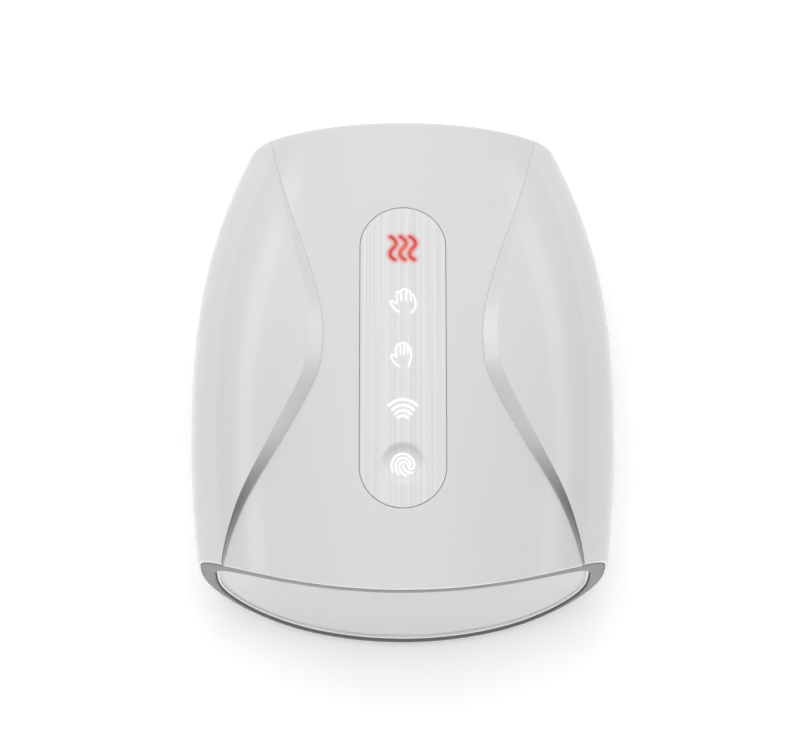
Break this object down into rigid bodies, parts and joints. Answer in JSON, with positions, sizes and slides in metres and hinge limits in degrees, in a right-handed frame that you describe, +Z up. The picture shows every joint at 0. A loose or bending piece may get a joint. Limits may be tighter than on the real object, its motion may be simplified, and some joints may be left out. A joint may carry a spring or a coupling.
{
  "type": "hand massager",
  "caption": "Barrel-shaped hand massager with a wide bowed mouth, raised side wings, a touch panel along the crown, and air-driven pads inside.",
  "frame": {"origin": "on the table plane under the middle of the shell's length and width", "axes": "+Y towards the closed back, the mouth for the hand faces -Y, +X to the right seen from the front, +Z up"},
  "size_m": [0.1674, 0.1952, 0.095],
  "materials": {
    "shell_white": "gloss",
    "bezel_grey": "satin silver",
    "trim_white": "gloss",
    "liner_fabric": "smooth knitted",
    "pad_fabric": "soft knitted",
    "panel_gloss": "fine vertical stripes under gloss",
    "guide_white": "translucent white",
    "board_green": "solder mask",
    "screw_steel": "zinc plated",
    "led_clear": "lamp",
    "inner_plastic": "moulded",
    "airbag_film": "welded film",
    "heating_film": "carbon film",
    "nub_plastic": "moulded",
    "chip_black": "moulded",
    "connector_cream": "moulded",
    "capacitor_sleeve": "shrink sleeve",
    "valve_steel": "plated",
    "coil_copper": "enamelled wire",
    "valve_plastic": "moulded",
    "motor_steel": "drawn",
    "magnet_dark": "ferrite",
    "rotor_steel": "laminated",
    "pump_plastic": "moulded",
    "rubber_black": "matt",
    "rubber_grey": "matt",
    "tube_silicone": "translucent",
    "cell_sleeve": "shrink sleeve",
    "socket_steel": "plated",
    "ribbon_film": "flat cable"
  },
  "bodies": {
    "base": {"upper_housing": "shell_white", "lower_housing": "shell_white", "entry_bezel": "bezel_grey", "entry_trim": "trim_white", "entry_liner": "liner_fabric", "pocket_sleeve": "liner_fabric", "control_panel": "panel_gloss", "light_guide": "guide_white", "touch_board": "board_green", "touch_screws": "screw_steel", "leds": "led_clear", "upper_carrier": "inner_plastic", "carrier_screws": "screw_steel", "upper_airbag": "airbag_film", "lower_airbag": "airbag_film", "inner_tray": "inner_plastic", "tray_screws": "screw_steel", "main_board": "board_green", "board_screws": "screw_steel", "board_chips": "chip_black", "board_connectors": "connector_cream", "board_capacitors": "capacitor_sleeve", "valve_frames": "valve_steel", "valve_coils": "coil_copper", "valve_caps": "valve_plastic", "lower_valve_spring": "screw_steel", "upper_valve_spring": "screw_steel", "pump_motor_can": "motor_steel", "pump_motor_cap": "pump_plastic", "pump_magnets": "magnet_dark", "pump_body": "pump_plastic", "pump_rocker": "valve_plastic", "pump_diaphragm": "rubber_black", "pump_head": "pump_plastic", "pump_saddles": "rubber_grey", "air_manifold": "valve_plastic", "feed_tubes": "tube_silicone", "lower_air_tube": "tube_silicone", "upper_air_tube": "tube_silicone", "battery_cells": "cell_sleeve", "battery_cradle": "inner_plastic", "battery_strap": "pump_plastic", "charging_socket": "socket_steel", "charging_board": "board_green", "panel_ribbon": "ribbon_film", "housing_screws": "screw_steel", "rubber_feet": "rubber_grey"},
    "lower_press": {"nub_plate": "nub_plastic", "lower_pad": "pad_fabric"},
    "upper_press": {"upper_pad": "pad_fabric", "heating_film": "heating_film"},
    "pump_drive": {"pump_rotor": "rotor_steel"},
    "lower_valve_armature": {"lower_valve_plunger": "valve_steel"},
    "upper_valve_armature": {"upper_valve_plunger": "valve_steel"}
  },
  "joints": [
    {"name": "lower_press_lift", "type": "slide", "parent": "base", "child": "lower_press", "axis": [0, 0, 1], "range_m": [0, 0.006], "deforming": ["lower_airbag"]},
    {"name": "upper_press_drop", "type": "slide", "parent": "base", "child": "upper_press", "axis": [0, 0, -1], "range_m": [0, 0.007], "stiffness_N_per_m": 150, "springref_m": -0.01, "deforming": ["upper_airbag"]},
    {"name": "pump_spin", "type": "hinge", "parent": "base", "child": "pump_drive", "pos_m": [0, 0.016, 0.0162], "axis": [1, 0, 0], "continuous": true},
    {"name": "lower_valve_travel", "type": "slide", "parent": "base", "child": "lower_valve_armature", "axis": [0, 0, 1], "range_m": [0, 0.0008], "stiffness_N_per_m": 400, "springref_m": -0.0006, "deforming": ["lower_valve_spring"]},
    {"name": "upper_valve_travel", "type": "slide", "parent": "base", "child": "upper_valve_armature", "axis": [0, 0, 1], "range_m": [0, 0.0008], "stiffness_N_per_m": 400, "springref_m": -0.0006, "deforming": ["upper_valve_spring"]}
  ]
}
